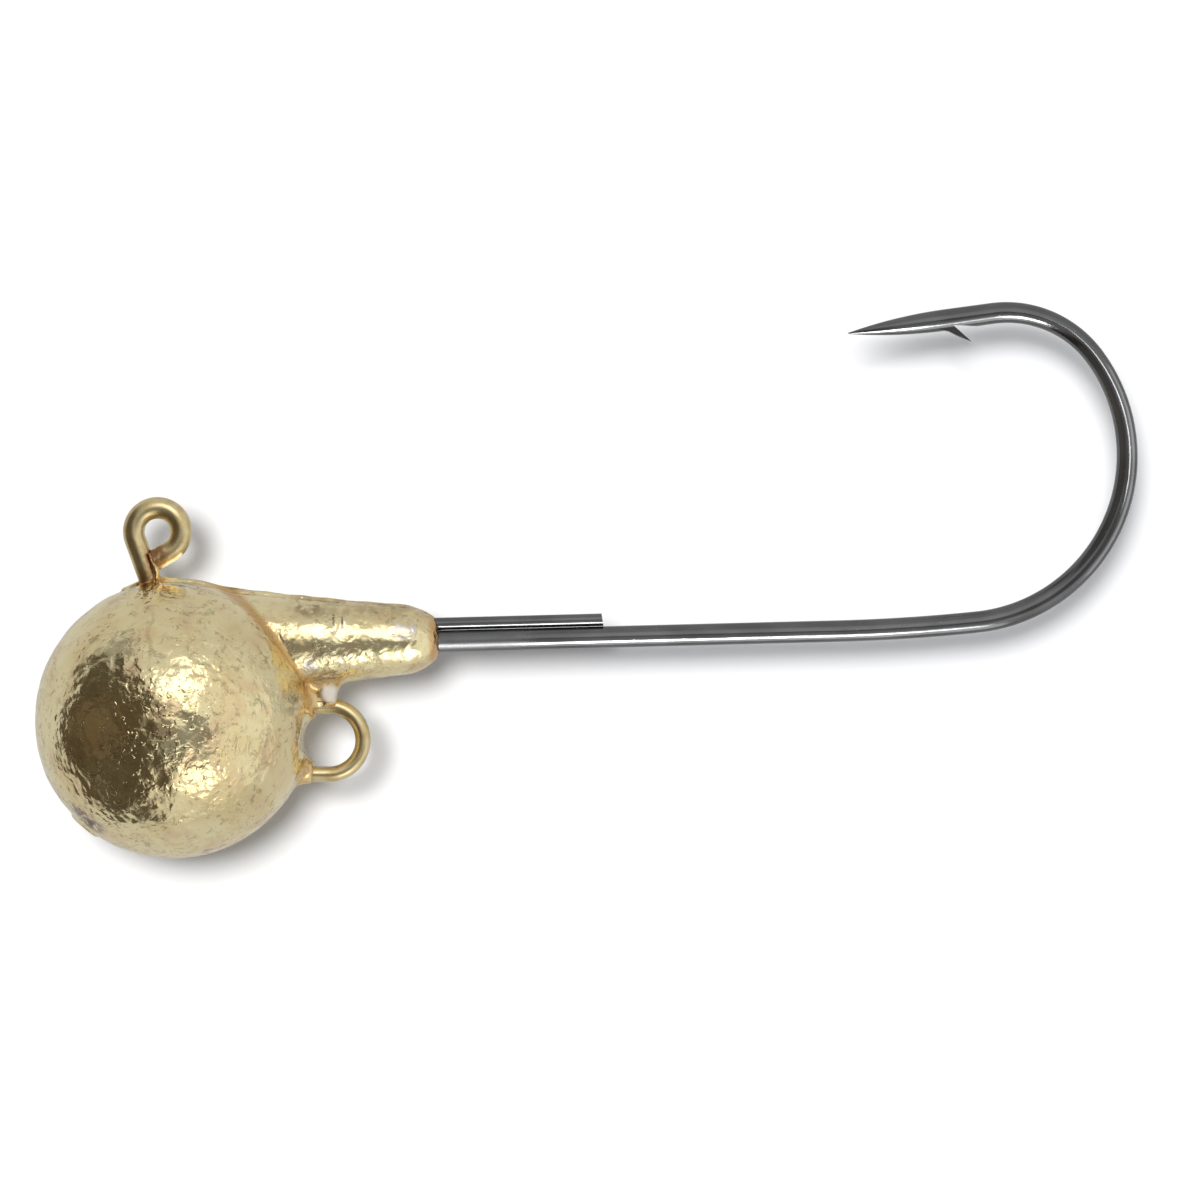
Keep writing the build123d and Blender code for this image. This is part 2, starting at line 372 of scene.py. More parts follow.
def barb_nick(path):
    """The waste behind the raised sliver."""
    tip_back = barb_start + barb_length
    outline = [
        (barb_start + barb_undercut, hook_radius - barb_depth),
        (tip_back + barb_undercut, hook_radius + 0.01),
        (tip_back + barb_undercut, hook_wire),
        (tip_back, hook_radius + barb_lift),
    ]
    near = [limb_place(path, back, down, -hook_wire) for back, down in outline]
    far = [limb_place(path, back, down, hook_wire) for back, down in outline]
    return prism("barb_nick", near, far)


def make_hook():
    path = hook_path()
    distance = np.array(path.distances)
    radius = tapered_point(distance[-1] - distance)
    near_crown = np.exp(-(((distance - path.crown_at) / crown_thinning_reach) ** 2))
    hook = swept_wire("hook_wire", path, radius - crown_thinning * near_crown, radius)
    combine(hook, barb_nick(path), "DIFFERENCE")
    combine(hook, barb_blade(path), "UNION")
    mark_wire(hook, path)
    return rounded(hook)


def make_eye():
    path = WirePath(leg_top + heading_vector(leg_heading) * leg_to_split, leg_heading + 180)
    path.straight(leg_to_split)
    path.bend(eye_radius, -eye_wrap)
    path.straight(eye_tail)
    eye = swept_wire("eye_loop", path, hook_radius, hook_radius, tail_shear)
    mark_wire(eye, path)
    return rounded(eye)


def make_ring():
    path = WirePath(ring_centre + np.array([-ring_anchor, 0, -ring_radius]), 0)
    path.straight(ring_anchor)
    path.bend(ring_radius, 180)
    path.straight(ring_anchor)
    ring = swept_wire("rig_ring", path, ring_wire / 2, ring_wire / 2)
    mark_wire(ring, path)
    return rounded(ring)


def make_pin():
    lift = hook_radius + wire_gap + pin_wire / 2
    path = WirePath(nose_on_shank + shank_up * lift - shank_along * pin_anchor, shank_rise)
    path.straight(pin_anchor + pin_reach)
    pin = swept_wire("bait_pin", path, pin_wire / 2, pin_wire / 2, -pin_cut)
    mark_wire(pin, path)
    return rounded(pin)


# ---- Lead casting ------------------------------------------------------------------------------


def smooth_union(a, b, blend):
    """Distance to two shapes with a fillet between them."""
    near = np.clip(1 - np.abs(a - b) / blend, 0, None)
    return np.minimum(a, b) - near**2 * blend / 4


def smooth_cut(a, b, blend):
    """Distance to what two shapes share, with its edges eased."""
    return -smooth_union(-a, -b, blend)


def along_axis(place, origin, direction):
    """Distances along an axis from its origin, and out from it."""
    offset = place - origin
    run = offset @ direction
    return run, np.linalg.norm(offset - run[:, None] * direction, axis=1)


def ball_skin(place):
    return np.linalg.norm(place - ball_centre, axis=1) - ball_radius


def collar_skin(place):
    """A long cone that closes in an arc to the flat face of the nose."""
    nose = nose_on_shank + shank_up * collar_lift
    run, out = along_axis(place, nose, -shank_along)
    waist, slope = collar_waist / 2, radians(collar_taper)
    drop = waist - nose_face / 2
    arc = (nose_length**2 + drop**2) / (2 * (drop * cos(slope) - nose_length * sin(slope)))
    hub_run, hub_out = nose_length + arc * sin(slope), waist - arc * cos(slope)
    flank = (out - waist) * cos(slope) - (run - nose_length) * sin(slope)
    rounding = np.hypot(run - hub_run, out - hub_out) - arc
    past_waist = (run - nose_length) * cos(slope) + (out - waist) * sin(slope) > 0
    side = np.where(past_waist, flank, rounding)
    face = -run
    inner_end = run - collar_reach - ball_radius
    return smooth_cut(np.maximum(side, inner_end), face, nose_ease)


def block_skin(place, low, high, ease):
    """A box with eased edges."""
    middle, half = (np.array(low) + high) / 2, (np.array(high) - low) / 2 - ease
    out = np.abs(place - middle) - half
    return np.linalg.norm(np.clip(out, 0, None), axis=1) + np.clip(out.max(1), None, 0) - ease


def web_skin(place):
    """Lead between ball, collar and ring, down past the ring's hole."""
    half = web_thickness / 2
    throat_edge, cheek_edge = ring_centre[0] + web_edge, ring_centre[0] - web_cheek
    upper, lower = ring_centre[2] + ring_radius, ring_centre[2] - ring_radius
    throat = ((ball_centre[0], -half, upper - web_throat_foot), (throat_edge, half, nose_on_shank[2]))
    cheek = ((ball_centre[0], -half, lower), (cheek_edge, half, upper + web_overlap))
    blocks = [block_skin(place, low, high, web_ease) for low, high in (throat, cheek)]
    return smooth_union(*blocks, web_joint)


def cone_skin(place, start, direction, length, radius, half_angle):
    """A cone that widens from its start."""
    run, out = along_axis(place, np.array(start), direction)
    side = (out - radius) * cos(radians(half_angle)) - run * sin(radians(half_angle))
    return smooth_cut(side, np.maximum(-run, run - length), small_ease)


def outline_skin(place):
    """Distance, in the mould's parting plane, to the outline of ball and collar together."""
    flat = place * np.array([1, 0, 1])
    return smooth_union(ball_skin(flat), collar_skin(flat), collar_fillet)


def bead_skin(place):
    """Rounded flash along the top, where the mould's halves meet. It dies away along the collar."""
    ripple = bead_ripple * np.sin(place[:, 0] * 2.3) * np.sin(place[:, 0] * 0.9 + 0.6)
    past_ball = np.clip((place[:, 0] - bead_drop_start) / bead_drop_run, 0, 1)
    sink = bead_sink + past_ball * bead_drop - ripple
    bead = np.hypot(outline_skin(place) + sink, place[:, 1]) - bead_radius
    below = -((place - nose_on_shank) @ shank_up)
    return smooth_cut(bead, np.maximum(bead_start - place[:, 0], below), bead_ease)


def strand_skin(place, route, radius):
    """A round strand along straight runs."""
    gap = np.full(len(place), np.inf)
    for start, end in zip(route, route[1:]):
        span = end - start
        share = np.clip((place - start) @ span / (span @ span), 0, 1)
        gap = np.minimum(gap, np.linalg.norm(place - start - share[:, None] * span, axis=1))
    return gap - radius


# Plate and lead that ran down between the eye's free end and the leg, and on to the ball.
slit_top = tail_end + np.array([-0.32, -0.44, 0.46])
slit_foot = tail_end + np.array([-0.03, -0.46, -0.30])
drip_top = tail_end + np.array([0.20, -0.50, -0.70])
drip_foot = tail_end + np.array([0.19, -0.60, -1.35])
drip_lead = [slit_foot, drip_top, drip_foot]

# How far the painted shade of a fillet runs past it.
fillet_shade_reach = 0.12


def lead_parts(place):
    """Distance to each part of the casting, the fillet that joins it, and the share of painted shade in that
    fillet.
    """
    leg_down, ring_inward = heading_vector(leg_heading), np.array([-1.0, 0, 0])
    leg_boss_top = leg_foot - leg_down * leg_boss_lift
    ring_boss_end = ring_centre - np.array([ring_boss_start, 0, ring_radius])
    gate_run, gate_out = along_axis(place, ball_centre, heading_vector(sprue_angle))
    reach = sqrt(ball_radius**2 - sprue_radius**2) + sprue_height
    stub = smooth_cut(gate_out - sprue_radius, gate_run - reach, sprue_ease)
    film = [slit_top, slit_foot]
    drip = [*drip_lead, ball_spot(-0.105, 0.963), ball_spot(-0.115, 0.885)]
    return [
        (ball_skin(place), 0, 0),
        (collar_skin(place), collar_fillet, 1),
        (web_skin(place), web_fillet, 0.55),
        (bead_skin(place), bead_fillet, 0.3),
        (cone_skin(place, leg_boss_top, leg_down, *leg_boss), boss_fillet, 1),
        (cone_skin(place, ring_boss_end, ring_inward, *ring_boss), boss_fillet, 0.6),
        (strand_skin(place, film, film_radius), film_fillet, 0.5),
        (strand_skin(place, drip, drip_radius), drip_fillet, 0.25),
        (np.maximum(stub, -gate_run), sprue_fillet, 0.3),
    ]


def lead_skin(place):
    """Distance to the smooth casting, and how much painted shade of a fillet each point gets, from 0 to 1.
    """
    parts = lead_parts(place)
    skin, fillet = parts[0][0], np.zeros(len(place))
    for part, blend, fillet_shade_share in parts[1:]:
        beside = np.clip(1 - np.abs(skin - part) / (blend + fillet_shade_reach), 0, None)
        fillet = np.maximum(fillet, fillet_shade_share * beside)
        skin = smooth_union(skin, part, blend)
    hole_out = np.hypot(place[:, 0] - ring_centre[0], place[:, 2] - ring_centre[2])
    return smooth_cut(skin, ring_hole / 2 - hole_out, small_ease), fillet


def wander(place, size, shift=0.0):
    """Smooth noise from -1 to 1, with lumps of about the given size."""
    scaled = place / size + shift
    return np.array([noise.noise(Vector(p)) for p in scaled])


def within(distance, reach):
    """1 at no distance, falling smoothly to 0 at the reach."""
    return np.clip(1 - (distance / reach) ** 2, 0, 1) ** 2


def from_spot(place, spot):
    return np.linalg.norm(place - spot, axis=1)


def ball_spot(right, up):
    """The point on the front of the ball at a share of its radius right of and above its centre."""
    return ball_centre + ball_radius * np.array([right, -sqrt(1 - right**2 - up**2), up])


# Lumps of the mould's skin, each a size, a place in the noise and a height.
mould_lumps = ((2.6, 0.0, 0.024), (1.1, 7.3, 0.026), (0.5, 19.1, 0.014))

# Creases low on the ball, which run down to the right.
wrinkle_spot, wrinkle_reach, wrinkle_height = ball_spot(-0.5, -0.6), 4.6, 0.11
wrinkle_turn = np.array([[2.6, 0, 1.0], [0, 1.6, 0], [1.1, 0, -0.55]])

# The torn gate, and the stain that ran down from the eye's leg.
gate_scar, gate_reach, gate_height = ball_spot(-0.60, -0.72), 1.7, 0.20
run_spot, run_reach = ball_spot(-0.12, 0.62), 2.6

# Small lumps on the web and round the leg, and on what ran down.
lump_size, lump_height = 0.55, 0.035
drip_lump_size, drip_lump_height = 0.33, 0.09

# Flash that crosses the collar's upper front, at these distances from the nose.
flash_spot, flash_reach = nose_on_shank + np.array([-6.0, -1.9, 1.4]), 1.1
flash_marks, flash_height, flash_width = (5.6, 6.15), 0.11, 0.26


def hammered(place):
    """Height of the uneven skin left by the mould and the thick plating."""
    height = sum(rise * wander(place, size, start) for size, start, rise in mould_lumps)
    wrinkled = within(from_spot(place, wrinkle_spot), wrinkle_reach)
    height += wrinkle_height * wrinkled * (0.4 - np.abs(wander(place @ wrinkle_turn, 1.0, 3.1)))
    gate = within(from_spot(place, gate_scar), gate_reach)
    height += gate_height * gate * (wander(place, 0.5, 31.7) - 0.3)
    lumpy = within(np.abs(web_skin(place)), 0.5) + within(from_spot(place, leg_foot), 1.6)
    height += lump_height * lumpy.clip(0, 1) * wander(place, lump_size, 11.9)
    run, _ = along_axis(place, nose_on_shank, -shank_along)
    upper_front = within(from_spot(place, flash_spot), flash_reach)
    for mark in flash_marks:
        height += flash_height * upper_front * within(run - mark, flash_width)
    drip_lumps = within(strand_skin(place, drip_lead, 0), 0.5)
    height += drip_lump_height * drip_lumps * wander(place, drip_lump_size, 5.9)
    beside = within(np.abs(place[:, 1]) - bead_bed_side, bead_bed_width)
    beside *= place[:, 2] > nose_on_shank[2]
    return height - bead_bed * beside * (place[:, 0] > bead_start) * (place[:, 0] < bead_bed_end)


def rough_core():
    """Simple closed shapes that hold the casting's outline, for the remesh to start from."""
    edit = bmesh.new()

    def add_block(low, high):
        made = bmesh.ops.create_cube(edit, size=1)
        low, high = np.array(low, float), np.array(high, float)
        for vertex in made["verts"]:
            share = np.array(vertex.co) + 0.5
            vertex.co = Vector(low + share * (high - low))

    def add_rod(start, end, start_radius, end_radius):
        start, end = Vector(start), Vector(end)
        size = {"radius1": start_radius, "radius2": end_radius, "depth": (end - start).length}
        made = bmesh.ops.create_cone(edit, cap_ends=True, segments=48, **size)
        turn = (end - start).to_track_quat("Z", "Y").to_matrix()
        for vertex in made["verts"]:
            vertex.co = turn @ vertex.co + (start + end) / 2

    ball = bmesh.ops.create_icosphere(edit, subdivisions=6, radius=ball_radius)
    for vertex in ball["verts"]:
        vertex.co += Vector(ball_centre)
    nose = nose_on_shank + shank_up * collar_lift
    waist = nose - shank_along * nose_length
    root = nose - shank_along * (collar_reach + ball_radius)
    flare = (collar_reach + ball_radius - nose_length) * tan(radians(collar_taper))
    add_rod(nose, waist, nose_face / 2 + 0.1, collar_waist / 2)
    add_rod(waist, root, collar_waist / 2, collar_waist / 2 + flare)
    half, hole = web_thickness / 2, ring_hole / 2
    upper, lower = ring_centre[2] + ring_radius, ring_centre[2] - ring_radius
    web_top_corner = (ring_centre[0] + web_edge, half, nose_on_shank[2])
    add_block((ball_centre[0], -half, ring_centre[2] + hole), web_top_corner)
    add_block((ball_centre[0], -half, lower), (ring_centre[0] - hole, half, upper))
    leg_down = heading_vector(leg_heading)
    add_rod(leg_foot - leg_down * 0.5, leg_foot + leg_down, 0.75, 1.1)
    lower_leg = ring_centre - np.array([0, 0, ring_radius])
    add_rod(lower_leg - np.array([0.9, 0, 0]), lower_leg - np.array([3.4, 0, 0]), 0.54, 0.9)
    add_rod(slit_top, drip_top, 0.15, 0.2)
    add_rod(drip_top, drip_foot - np.array([0, 0, 0.5]), drip_radius, drip_radius)
    gate = heading_vector(sprue_angle)
    add_rod(ball_centre, ball_centre + gate * (ball_radius + sprue_height), sprue_radius, sprue_radius)
    bmesh.ops.scale(edit, vec=(MM, MM, MM), verts=edit.verts)
    mesh = bpy.data.meshes.new("lead_casting")
    edit.to_mesh(mesh)
    edit.free()
    return link("lead_casting", mesh)


def pull_to_skin(place, steps=4):
    """Moves points on to the smooth casting along the slope of its distance."""
    reach = 0.01
    for _ in range(steps):
        height, _ = lead_skin(place)
        ahead = [lead_skin(place + reach * axis)[0] for axis in np.eye(3)]
        behind = [lead_skin(place - reach * axis)[0] for axis in np.eye(3)]
        slope = (np.stack(ahead, 1) - np.stack(behind, 1)) / (2 * reach)
        steep = np.clip((slope**2).sum(1), 0.25, None)
        place = place - (height / steep)[:, None] * slope
    return place, slope / np.linalg.norm(slope, axis=1)[:, None]


def evened(mesh, place):
    """Each point moved to the middle of its neighbours."""
    ends = np.empty(len(mesh.edges) * 2, int)
    mesh.edges.foreach_get("vertices", ends)
    ends = ends.reshape(-1, 2)
    total, count = np.zeros_like(place), np.zeros(len(place))
    for here, there in (ends.T, ends.T[::-1]):
        np.add.at(total, here, place[there])
        np.add.at(count, here, 1)
    return total / count[:, None]


def refined(mesh, place):
    """Halves the mesh's edges along the bead, the strands, the flash and the fillets. Returns its points."""
    _, crease = lead_skin(place)
    thin = (crease > 0.2) | (np.abs(bead_skin(place)) < 0.25)
    thin |= strand_skin(place, [slit_top, drip_foot], 0) < 0.7
    thin |= from_spot(place, flash_spot) < 1.2
    edit = bmesh.new()
    edit.from_mesh(mesh)
    edit.verts.ensure_lookup_table()
    chosen = [edge for edge in edit.edges if thin[edge.verts[0].index] and thin[edge.verts[1].index]]
    bmesh.ops.subdivide_edges(edit, edges=chosen, cuts=1, use_grid_fill=True)
    edit.to_mesh(mesh)
    edit.free()
    return vertices_of(mesh)


def make_casting():
    casting = rough_core()
    remesh = casting.modifiers.new("skin", "REMESH")
    remesh.mode, remesh.voxel_size, remesh.use_smooth_shade = "VOXEL", skin_voxel * MM, True
    settle(casting)
    mesh = casting.data
    place = refined(mesh, vertices_of(mesh))
    for _ in range(2):
        place, _ = pull_to_skin(place, 3)
        place = (place + evened(mesh, place)) / 2
    place, outward = pull_to_skin(place)
    _, crease = lead_skin(place)
    place = place + outward * hammered(place)[:, None]
    mesh.vertices.foreach_set("co", (place * MM).ravel())
    # How much painted shade of a fillet each point gets, kept for the finish.
    attribute = mesh.attributes.new("crease", "FLOAT", "POINT")
    attribute.data.foreach_set("value", crease.astype(np.float32))
    mesh.update()
    mesh.shade_smooth()
    return casting


# ---- Finishes ----------------------------------------------------------------------------------


class Socket:
    """A node's output that can be used in arithmetic, which adds Math nodes."""

    def __init__(self, finish, output):
        self.finish, self.output = finish, output

    def math(self, operation, *values):
        return self.finish.node("Math", {"operation": operation}, dict(enumerate(values)))

    def __add__(self, other):
        return self.math("ADD", self, other)

    __radd__ = __add__

    def __mul__(self, other):
        return self.math("MULTIPLY", self, other)

    __rmul__ = __mul__

    def __sub__(self, other):
        return self.math("SUBTRACT", self, other)

    def __rsub__(self, other):
        return self.math("SUBTRACT", other, self)

    def __abs__(self):
        return self.math("ABSOLUTE", self)

    def at_least(self, other):
        return self.math("MAXIMUM", self, other)

    def at_most(self, other):
        return self.math("MINIMUM", self, other)

    def step(self, low, high):
        """Rises smoothly from 0 at low to 1 at high, or falls if high is below low."""
        settings = {"interpolation_type": "SMOOTHSTEP"}
        return self.finish.node("MapRange", settings, {"Value": self, "From Min": low, "From Max": high})


class Finish:
    """Builds one node tree."""

    def __init__(self, tree):
        self.tree = tree
        tree.nodes.clear()

    def node(self, kind, settings=None, values=None, output=0):
        made = self.tree.nodes.new("ShaderNode" + kind)
        for name, value in (settings or {}).items():
            setattr(made, name, value)
        for key, value in (values or {}).items():
            if isinstance(value, Socket):
                self.tree.links.new(value.output, made.inputs[key])
            else:
                made.inputs[key].default_value = value
        return Socket(self, made.outputs[output]) if made.outputs else None

    def mix(self, share, first, second):
        """Colour that goes from first to second."""
        return self.node("Mix", {"data_type": "RGBA"}, {0: share, 6: first, 7: second}, 2)

    def place(self):
        """The point on the piece, in millimetres."""
        spot = self.node("TexCoord", output="Object")
        return self.node("VectorMath", {"operation": "SCALE"}, {0: spot, "Scale": 1 / MM})

    def stretched(self, vector, stretch):
        return self.node("VectorMath", {"operation": "MULTIPLY"}, {0: vector, 1: stretch})

    def noise(self, vector, size, detail=2.0, roughness=0.5, distortion=0.0):
        """Noise from 0 to 1, with lumps of about the given size."""
        values = {"Vector": vector, "Scale": 1 / size, "Detail": detail, "Roughness": roughness}
        return self.node("TexNoise", None, values | {"Distortion": distortion})

    def near(self, vector, spot, reach):
        """1 at a spot, falling to 0 at its reach."""
        gap = self.node("VectorMath", {"operation": "DISTANCE"}, {0: vector, 1: tuple(spot)}, "Value")
        return gap.step(reach, reach * 0.4)

    def along(self, vector, origin, direction):
        """Distance of a point along a direction from an origin."""
        offset = self.node("VectorMath", {"operation": "SUBTRACT"}, {0: vector, 1: tuple(origin)})
        return self.dot(offset, direction)

    def dot(self, vector, direction):
        settings = {"operation": "DOT_PRODUCT"}
        return self.node("VectorMath", settings, {0: vector, 1: tuple(direction)}, "Value")

    def bump(self, height, depth):
        """Normal for a height from 0 to 1 that stands for a depth in millimetres."""
        return self.node("Bump", None, {"Strength": 1.0, "Distance": depth * MM, "Height": height})


def srgb(red, green, blue):
    """Colour from its 0 to 255 screen values."""
    shares = [value / 255 for value in (red, green, blue)]
    linear = [s / 12.92 if s <= 0.04045 else ((s + 0.055) / 1.055) ** 2.4 for s in shares]
    return (*linear, 1.0)


def metal(name):
    material = bpy.data.materials.new(name)
    material.use_nodes = True
    return material, Finish(material.node_tree)


def complete(finish, values):
    shader = finish.node("BsdfPrincipled", None, {"Metallic": 1.0} | values)
    finish.node("OutputMaterial", None, {"Surface": shader})


def gilt_lead():
    """Pale gold plate over cast lead: uneven, smudged in places, with grey lead at worn spots, and painted
    shade in the fillets, round the collar and in the slit by the eye.
    """
    material, f = metal("gilt_lead")
    p = f.place()
    # Slow changes of tone, then the shapes of the skin's dents.
    tone = f.noise(p, 3.0, 3.0)
    blush = f.noise(p, 1.5, 3.0, 0.6, 0.4)
    cloud = f.noise(p, 0.8, 3.0, 0.65)
    wave = f.noise(p, 1.2, 1.5, 0.5, 0.4)
    dent = f.noise(p, 0.60, 1.5, 0.5, 0.5)
    fold = abs(f.noise(p, 1.0, 1.0, 0.5, 0.6) - 0.5)
    grit = f.noise(p, 0.26, 1.0, 0.5)
    spark = f.noise(p, 0.42, 1.0).step(0.60, 0.70) * f.near(p, ball_spot(-0.05, -0.1), 5.2)
    crumpled = 0.45 + 0.9 * f.noise(p, 2.6, 2.0).step(0.40, 0.60)
    # Fine dark lines, smudges and pits, and the fillets, where shade is painted.
    vein = abs(f.noise(p, 0.85, 3.0, 0.62, 1.0) - 0.5).step(0.03, 0.006)
    crazing = vein * f.noise(p, 1.7, 2.0).step(0.50, 0.62)
    smudge = f.noise(p, 0.55, 3.0, 0.7, 0.5).step(0.54, 0.66) * f.noise(p, 2.2, 2.0).step(0.40, 0.54)
    pits = f.noise(p, 0.30, 1.0).step(0.72, 0.77)
    crease = f.node("Attribute", {"attribute_name": "crease"}, output="Fac").step(0.1, 0.8)
    # Stains round the gate and the leg's foot, and the stain that ran down from the eye's leg. Painted shade
    # in the slit at the eye's free end, on the collar's upper root and under the collar.
    nose_end = f.along(p, nose_on_shank, shank_along)
    gate = f.near(p, gate_scar, gate_reach) * f.noise(p, 0.5, 3.0, 0.6).step(0.40, 0.52)
    foot = f.near(p, leg_foot + np.array([0.1, -0.4, 0]), 1.4)
    slit_shade = f.near(p, (slit_top + slit_foot) / 2, 0.7)
    aside = abs(f.along(p, run_spot, (1, 0, 0)) + 0.9 * blush - 0.45)
    run_off = aside.step(0.22, 0.04) * f.near(p, run_spot, run_reach)
    collar_top_shade = f.along(p, nose_on_shank, shank_up).step(1.2, 1.9) * nose_end.step(-9.5, -8)
    shade_under_collar = f.near(p, ring_centre + np.array([-0.3, -1.2, 3.9]), 1.3) * cloud.step(0.35, 0.5)
    root_shade = f.near(p, nose_on_shank + np.array([-7.9, -1.2, 1.9]), 1.3) * cloud.step(0.42, 0.6)
    # Worn spots, where the lead shows.
    bare_nose = f.near(p, nose_on_shank + np.array([-2.1, -1.9, 0.75]), 1.1)
    bare_root = f.near(p, nose_on_shank + np.array([-7.8, -2.0, -1.3]), 0.8)
    bare_web = f.near(p, ring_centre + np.array([0.1, -0.75, 2.82]), 0.7)
    bare = (bare_nose + bare_root) * f.noise(p, 0.5, 3.0).step(0.40, 0.54)
    bare = (bare + bare_web * 1.4).at_most(1.0)
    # The plate, from its plain colour to what lies over it, and the painted shade.
    colour = f.mix(tone.step(0.35, 0.65), srgb(243, 229, 181), srgb(234, 214, 162))
    colour = f.mix(blush.step(0.48, 0.66) * 0.5, colour, srgb(228, 196, 158))
    colour = f.mix(smudge * 0.6, colour, srgb(160, 146, 108))
    # Painted shade on the collar's upper side near its root, broken up by the cloud.
    colour = f.mix(collar_top_shade * cloud.step(0.3, 0.6) * 0.6, colour, srgb(178, 158, 118))
    # Painted shade under the collar, above the ring.
    colour = f.mix(shade_under_collar * 0.7, colour, srgb(178, 150, 112))
    # Painted shade in the fillets between parts: darker, oranger gold.
    colour = f.mix(crease * 0.75, colour, srgb(200, 154, 86))
    colour = f.mix(foot * cloud.step(0.35, 0.6) * 0.75, colour, srgb(200, 150, 84))
    colour = f.mix(nose_end.step(-0.75, -0.45) * 0.7, colour, srgb(216, 164, 108))
    # Painted shade at the collar's upper root, where it meets the ball.
    colour = f.mix(root_shade * 0.6, colour, srgb(132, 108, 82))
    colour = f.mix(run_off * (0.1 + 0.45 * cloud), colour, srgb(166, 152, 104))
    colour = f.mix(crazing * 0.35, colour, srgb(140, 122, 88))
    colour = f.mix(pits * 0.45, colour, srgb(130, 118, 98))
    colour = f.mix(gate * 0.85, colour, srgb(112, 90, 80))
    # Painted shade in the slit between the eye's free end and its leg.
    colour = f.mix(slit_shade * 0.9, colour, srgb(150, 100, 66))
    colour = f.mix(bare * 0.9, colour, srgb(218, 211, 203))
    rough = 0.12 + 0.11 * cloud + 0.18 * bare + 0.06 * crease + 0.10 * smudge + 0.2 * bare_web
    crumple = 0.75 * dent + 0.18 * grit - 0.7 * fold
    height = 1.1 * wave + crumpled * crumple + 0.35 * spark - 0.06 * crazing - 0.12 * pits
    surface = {"Base Color": colour, "Metallic": 1 - 0.45 * bare_web, "Roughness": rough}
    complete(f, surface | {"Normal": f.bump(height, 0.085)})
    return material


def grain_of(f):
    return f.node("Attribute", {"attribute_name": "grain"}, output="Vector")


def gilt_wire():
    """The same plate on steel wire: smoother, browner at the leg's foot, with painted shade at the eye's
    free end.
    """
    material, f = metal("gilt_wire")
    p = f.place()
    cloud = f.noise(p, 0.8, 3.0, 0.6)
    grit = f.noise(p, 0.12, 2.0, 0.6)
    drawn = f.noise(f.stretched(grain_of(f), (0.12, 1.0, 1.0)), 0.16, 2.0)
    tail_end_shade = f.near(p, tail_end + np.array([0.1, -0.4, 0.3]), 1.1)
    foot = f.near(p, leg_foot, 1.3)
    tarnish_and_shade = ((tail_end_shade + foot) * f.noise(p, 0.45, 2.0).step(0.30, 0.54)).at_most(1.0)
    gold = f.mix(cloud.step(0.4, 0.7), srgb(226, 208, 160), srgb(208, 184, 130))
    # Brown tarnish at the leg's foot, and painted shade where the eye's free end meets the leg.
    colour = f.mix(tarnish_and_shade, gold, srgb(164, 124, 84))
    rough = 0.26 + 0.10 * cloud + 0.10 * tarnish_and_shade
    height = 0.5 * drawn + 0.3 * grit + 0.4 * cloud
    complete(f, {"Base Color": colour, "Roughness": rough, "Normal": f.bump(height, 0.02)})
    return material


def black_nickel():
    """Dark polished nickel on drawn steel, with the fine lines of the die along the wire."""
    material, f = metal("black_nickel")
    grain = grain_of(f)
    drawn = f.noise(f.stretched(grain, (0.05, 1.0, 1.0)), 0.10, 3.0)
    cloud = f.noise(f.stretched(grain, (0.4, 1.0, 1.0)), 1.1, 3.0)
    fleck = f.noise(f.stretched(grain, (0.5, 1.0, 1.0)), 0.13, 1.0).step(0.70, 0.78)
    dark = f.mix(cloud.step(0.35, 0.7), srgb(104, 104, 104), srgb(116, 116, 117))
    colour = f.mix(fleck * 0.35, dark, srgb(158, 158, 160))
    along = f.node("SeparateXYZ", None, {"Vector": grain}, "X")
    dulled = along.step(nose_on_wire - 1, nose_on_wire) * along.step(nose_on_wire + 6.5, nose_on_wire + 4)
    rough = 0.11 + 0.06 * cloud + 0.08 * fleck + 0.25 * dulled
    height = 0.6 * drawn + 0.4 * cloud + 0.2 * fleck
    complete(f, {"Base Color": colour, "Roughness": rough, "Normal": f.bump(height, 0.006)})
    return material


# ---- Camera, table and light -------------------------------------------------------------------

# The camera looks along +Y at a point of the hook's plane, where it takes in this width.
view_x, view_z = 26.55, -4.11
view_width = 72.0
view_distance = 400.0
sensor = 36.0

# How white the card is to the camera, and in the light that it throws back.
card_white, card_bounce = 0.9, 0.55

# The card that it lies on is torn at the left, where the dark of the room shows past it.
card_side = 600.0
card_tear = [
    (-145, 61), (-109, 15), (-46, -14), (-38, -24), (-50, -38),
    (-44, -46), (-28, -60), (-22, -75),
]


def make_camera():
    lens = bpy.data.cameras.new("camera")
    lens.sensor_width = sensor
    lens.lens = sensor * view_distance / view_width
    lens.clip_start, lens.clip_end = 0.01, 10.0
    camera = bpy.data.objects.new("camera", lens)
    bpy.context.scene.collection.objects.link(camera)
    camera.location = (view_x * MM, -view_distance * MM, view_z * MM)
    camera.rotation_euler = (radians(90), 0, 0)
    bpy.context.scene.camera = camera


def table_finish():
    """Matt white. Its underside lets the camera through, so that the piece can be looked at from there."""
    material = bpy.data.materials.new("table_white")
    material.use_nodes = True
    f = Finish(material.node_tree)
    seen = f.node("LightPath", output="Is Camera Ray")
    colour = f.mix(seen, (card_bounce,) * 3 + (1,), (card_white,) * 3 + (1,))
    white = f.node("BsdfDiffuse", None, {"Color": colour})
    clear = f.node("BsdfTransparent")
    underside = f.node("NewGeometry", output="Backfacing")
    surface = f.node("MixShader", None, {0: underside * seen, 1: white, 2: clear})
    f.node("OutputMaterial", None, {"Surface": surface})
    return material


